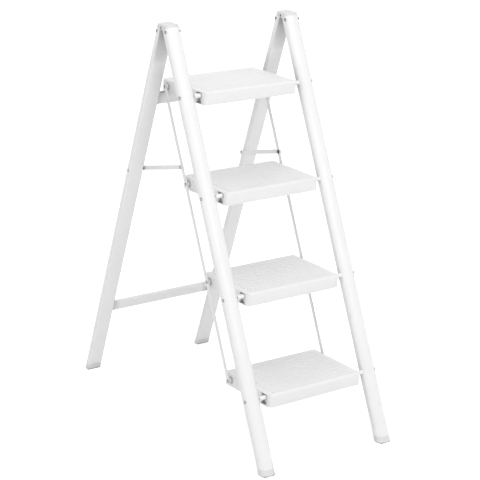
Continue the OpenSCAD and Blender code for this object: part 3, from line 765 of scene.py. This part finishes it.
def rolled_end(shank_r):
    """Half a pin's profile, as (way out from the face, radius): under the head, a quarter
    ellipse over the rim up to its crest, and another that flares in from the crest to the
    hollow's wall."""
    angle = np.radians(np.linspace(0, 90, HEAD_STEPS + 1))
    hollow_r = shank_r - HOLLOW_WALL
    over = np.column_stack([HEAD_HEIGHT * np.sin(angle),
                            CREST_R + (HEAD_RADIUS - CREST_R) * np.cos(angle)])
    mouth = np.column_stack([HEAD_HEIGHT - MOUTH_DEPTH * (1 - np.cos(angle)),
                             CREST_R - (CREST_R - hollow_r) * np.sin(angle)])
    bottom = (HEAD_HEIGHT - HOLLOW_DEPTH, hollow_r)
    return np.concatenate([[(0.0, shank_r)], over, mouth[1:], [bottom]])


def turned(profile, centre):
    """A profile of (x, radius) turned about the line along x through the centre: the radius
    times the cosine and sine of evenly spread angles."""
    angle = np.radians(np.arange(TURN_STEPS) * 360 / TURN_STEPS)
    circle = np.column_stack([np.zeros(TURN_STEPS), np.cos(angle), np.sin(angle)])
    along = np.array([1, 0, 0]) * profile[:, :1, None]
    return (along + circle * profile[:, 1:2, None]) + np.array([0, *centre])


def headed_pin(shank_r, low, high, centre):
    """A pin with a rolled end on each of two faces, low and high."""
    end = rolled_end(shank_r)
    near = np.column_stack([low - end[:, 0], end[:, 1]])
    far = np.column_stack([high + end[:, 0], end[:, 1]])
    return turned(np.concatenate([near[::-1], far]), centre)


def pins_mesh(name, pins):
    """One mesh for pins of one profile, with the second material in their hollow ends and
    flared mouths."""
    mesh = ring_mesh(name, pins)
    strips, steps = pins[0].shape[0] - 1, pins[0].shape[1]
    hollow = np.zeros(strips, np.int32)
    hollow[:HOLLOW_STRIPS] = hollow[-HOLLOW_STRIPS:] = 1
    one = np.concatenate([np.repeat(hollow, steps), [1, 1]])
    mesh.polygons.foreach_set("material_index", np.tile(one, len(pins)))
    return mesh


def side_centre(cad_node):
    """The middle of a node's box in the side view, as (y, z)."""
    low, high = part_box(cad_node)
    return (low.y + high.y) / 2, (low.z + high.z) / 2


def tube_round(low, high, radius, centre):
    """A tube's outside with its two edges eased along quarter circles."""
    stations, insets = rounded_ends(low, high, SLEEVE_EDGE)
    return turned(np.column_stack([stations, radius - insets]), centre)


zinc = turned_steel("dulled_zinc_plate", ZINC_LIGHT, ZINC_DARK, ZINC_ROUGHNESS)
# Near-black for the hollow ends: dark oxide, and painted shade in them.
hollow_oxide_and_shade = turned_steel("dark_oxide_and_painted_shade_steel", HOLLOW_OXIDE_SHADE_LIGHT, HOLLOW_OXIDE_SHADE_DARK, HOLLOW_ROUGHNESS)
leg_low, leg_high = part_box("front_leg_right")
stay_low, stay_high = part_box("stay_right")
rod_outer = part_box("link_rod_right")[0].x + ROD_THICKNESS
pin_inner = TREAD_END_X - POCKET_DEPTH - BEARING_WALL - PLAY
stay_bolt = spot_of("stay_right_swing")
# Each with its body, shank radius, inner and outer faces on the right, and centres.
pins = {
    "front_cap_rivets": ("front_frame", RIVET_R, leg_low.x, leg_high.x,
                         [side_centre("front_cap_rivets")]),
    "rear_cap_rivets": ("rear_frame", RIVET_R, leg_low.x, leg_high.x,
                        [side_centre("rear_cap_rivets")]),
    "tread_pins": ("front_frame", PIN_R, pin_inner, leg_high.x, tread_pivots),
    "stay_bolts": ("rear_frame", PIN_R, stay_low.x - PLAY / 2, leg_high.x, [stay_bolt]),
}
for n, link in enumerate(links, 1):
    pins[f"link_rivets_{n}"] = (f"tread_{n}", RIVET_R, TREAD_END_X - BEARING_WALL,
                                rod_outer + PLAY / 2, [link])
for name, (body, shank_r, inner, outer, centres) in pins.items():
    shells = [headed_pin(shank_r, low, high, centre)
              for centre in centres for low, high in ((-outer, -inner), (inner, outer))]
    piece(f"{name}_turned", pins_mesh(name, shells), [zinc, hollow_oxide_and_shade], body, "fastener_steel", name)

end = rolled_end(RIVET_R)
for side, way in (("left", -1), ("right", 1)):
    profile = np.concatenate([[(stay_low.x, RIVET_R)], end + (stay_high.x, 0)]) * (way, 1)
    mesh = ring_mesh(f"stay_rivet_{side}", [turned(profile, stay_end)])
    piece(f"stay_rivet_{side}_turned", mesh, [zinc],
          f"stay_{side}", "fastener_steel", f"stay_rivet_{side}")

leg_middle = (leg_low.x + leg_high.x) / 2
hinge_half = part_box("hinge_pins")[1].x - leg_middle
hinge_pins = [tube_round(x - hinge_half, x + hinge_half, PIN_R, (hinge.y, hinge.z))
              for x in (-leg_middle, leg_middle)]
piece("hinge_pins_turned", ring_mesh("hinge_pins", hinge_pins), [zinc],
      "front_frame", "fastener_steel", "hinge_pins")

spacer = (stay_high.x + PLAY, leg_low.x)
sleeve = (TREAD_END_X - POCKET_DEPTH + PLAY, leg_low.x)
spacers = [tube_round(*np.sort(np.array(spacer) * way), SLEEVE_R, stay_bolt)
           for way in (-1, 1)]
sleeves = [tube_round(*np.sort(np.array(sleeve) * way), SLEEVE_R, pivot)
           for pivot in tread_pivots for way in (-1, 1)]
piece("stay_spacers_turned", ring_mesh("stay_spacers", spacers), [zinc],
      "rear_frame", "fastener_steel", "stay_spacers")
piece("tread_sleeves_turned", ring_mesh("tread_sleeves", sleeves), [coat],
      "front_frame", "white_coated_steel", "tread_sleeves")
